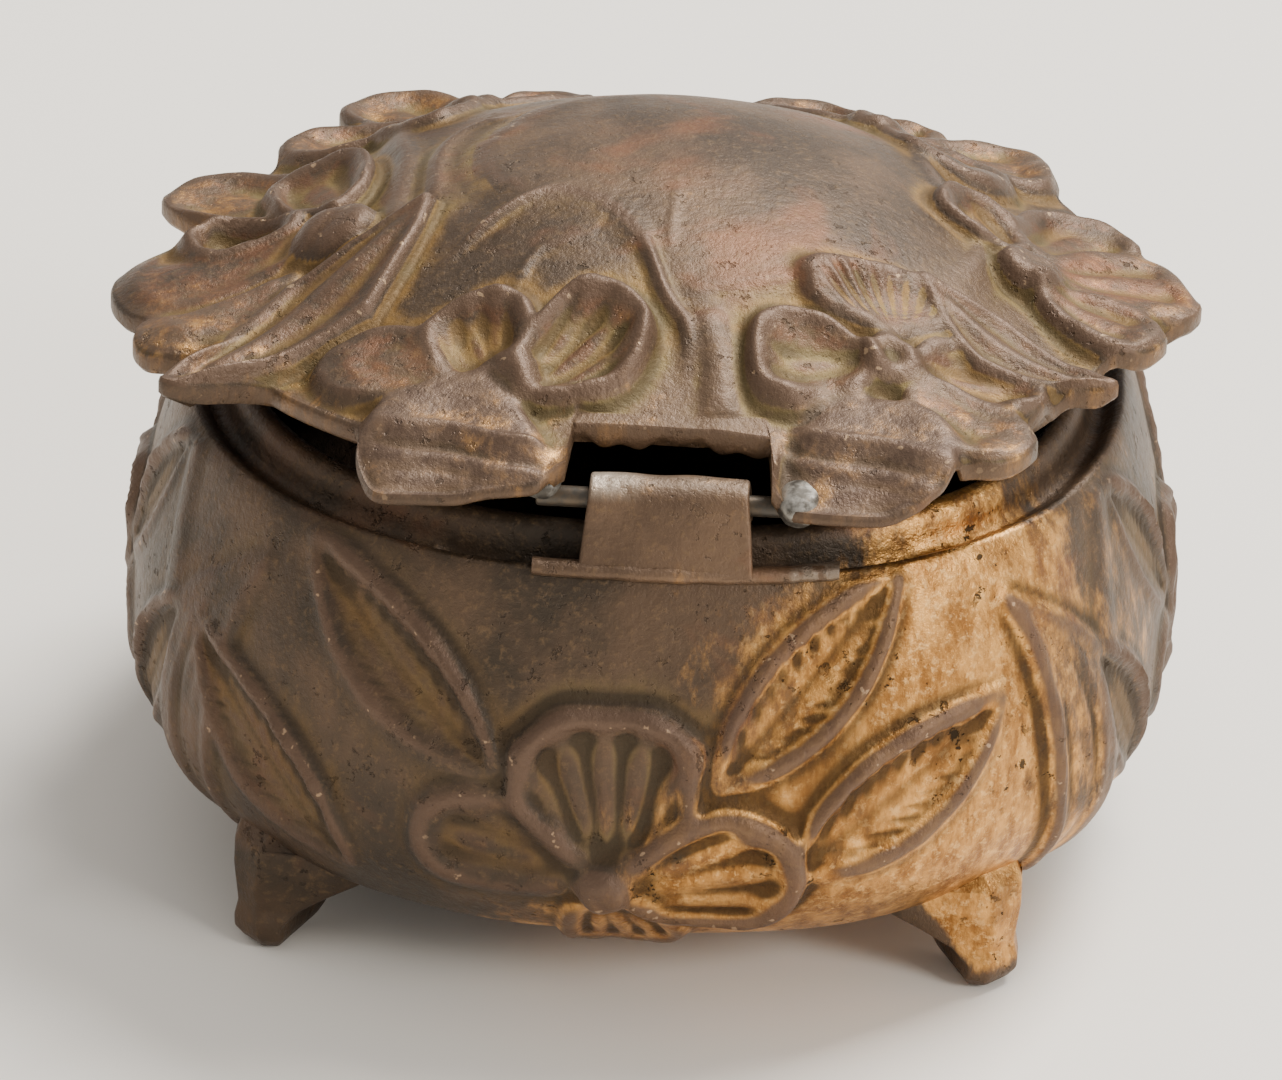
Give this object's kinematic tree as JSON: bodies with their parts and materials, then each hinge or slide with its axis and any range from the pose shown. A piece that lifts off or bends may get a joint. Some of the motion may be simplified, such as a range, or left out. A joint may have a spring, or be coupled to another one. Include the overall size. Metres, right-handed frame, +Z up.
{
  "type": "vanity trinket box",
  "caption": "Small cast metal jewel casket: pillow-shaped body on bracket feet, domed lid edged with relief flowers, swinging on one rolled hinge leaf and pin.",
  "frame": {"origin": "middle of the box on the plane of its four feet", "axes": "+Z up; -Y towards the hinge side, +Y towards the side that opens; +X to the right when the hinge side faces you"},
  "size_m": [0.0747, 0.0722, 0.0502],
  "materials": {
    "body_casting": "worn gilding over dark brown patina, brighter on the hinge side's right half",
    "foot_casting": "worn gilding, darker at the toes",
    "hinge_strip": "brown patina, rubbed bright along the roll",
    "pin_wire": "dull wire",
    "lug_solder": "grey soldered ears",
    "lid_casting": "dark brown patina with coppery and golden rubbed relief"
  },
  "bodies": {
    "casket": {"body_shell": "body_casting", "foot_front_right": "foot_casting", "foot_front_left": "foot_casting", "foot_hinge_left": "foot_casting", "foot_hinge_right": "foot_casting", "hinge_leaf": "hinge_strip"},
    "lid": {"lid_shell": "lid_casting", "hinge_pin": "pin_wire", "lid_lug_left": "lug_solder", "lid_lug_right": "lug_solder"}
  },
  "joints": [
    {"name": "lid_hinge", "type": "hinge", "parent": "casket", "child": "lid", "pos_m": [0.0021, -0.0296, 0.038], "axis": [1, 0, 0], "range_deg": [0, 105]}
  ]
}
